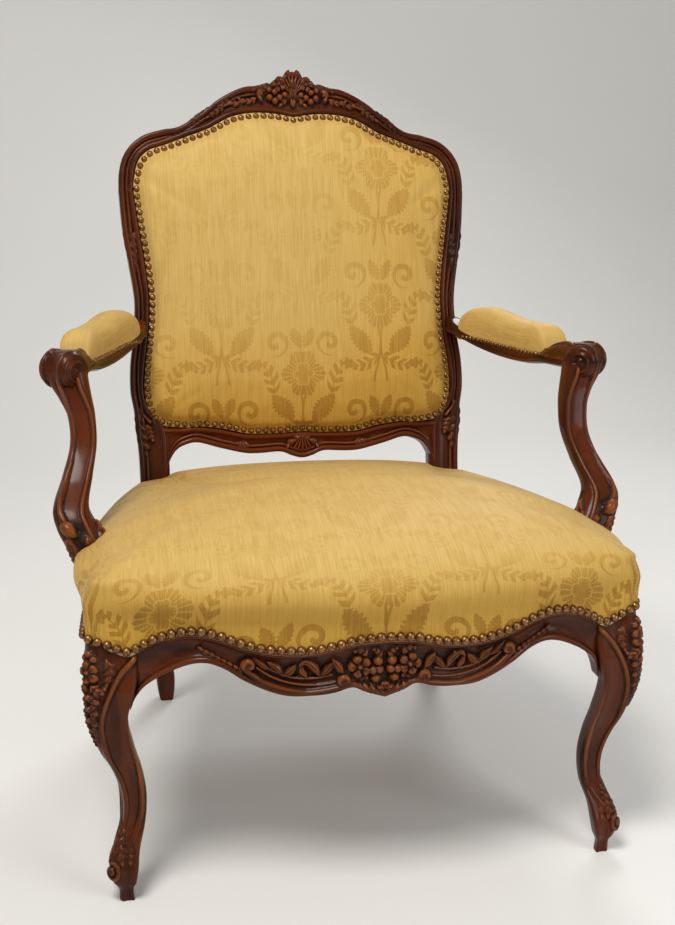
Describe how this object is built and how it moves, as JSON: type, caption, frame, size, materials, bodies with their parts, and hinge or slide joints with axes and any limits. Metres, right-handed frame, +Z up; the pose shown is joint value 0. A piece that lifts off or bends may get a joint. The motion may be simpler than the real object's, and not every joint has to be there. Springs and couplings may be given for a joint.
{
  "type": "open armchair",
  "caption": "Open armchair with a carved show-wood frame, cabriole legs, a framed upholstered back, a domed seat and short arm pads, in nailed damask.",
  "frame": {"origin": "on the floor, under the middle of the chair's width and depth", "axes": "+Z up, +Y to the back, +X to the right of someone facing the chair"},
  "size_m": [0.737, 0.7296, 0.9701],
  "materials": {
    "walnut": "waxed, half gloss",
    "block_wood": "sawn",
    "peg_wood": "turned",
    "screw_steel": "plain",
    "webbing": "woven jute",
    "canvas": "woven hessian",
    "stuffing": "curled hair",
    "damask": "woven damask, ribbed, with a darker pattern",
    "nail_brass": "antique bronze"
  },
  "bodies": {
    "root": {"front_leg_left": "walnut", "front_leg_right": "walnut", "rear_post_left": "walnut", "rear_post_right": "walnut", "seat_rail_front": "walnut", "seat_rail_rear": "walnut", "seat_rail_left": "walnut", "seat_rail_right": "walnut", "crest_rail": "walnut", "back_lower_rail": "walnut", "arm_left": "walnut", "arm_right": "walnut", "arm_support_left": "walnut", "arm_support_right": "walnut", "corner_block_front_left": "block_wood", "corner_block_front_right": "block_wood", "corner_block_rear_left": "block_wood", "corner_block_rear_right": "block_wood", "seat_joint_pegs": "peg_wood", "back_joint_pegs": "peg_wood", "corner_block_screws": "screw_steel", "arm_screws": "screw_steel", "seat_webbing_long": "webbing", "seat_webbing_cross": "webbing", "back_webbing_long": "webbing", "back_webbing_cross": "webbing", "seat_canvas": "canvas", "back_canvas": "canvas", "seat_stuffing": "stuffing", "back_stuffing": "stuffing", "arm_pad_left": "stuffing", "arm_pad_right": "stuffing", "seat_cover": "damask", "inside_back_cover": "damask", "outside_back_cover": "damask", "arm_cover_left": "damask", "arm_cover_right": "damask", "seat_nails_front": "nail_brass", "seat_nails_left": "nail_brass", "seat_nails_right": "nail_brass", "seat_nails_rear": "nail_brass", "inside_back_nails": "nail_brass", "outside_back_nails": "nail_brass", "arm_nails_left": "nail_brass", "arm_nails_right": "nail_brass"}
  },
  "joints": []
}
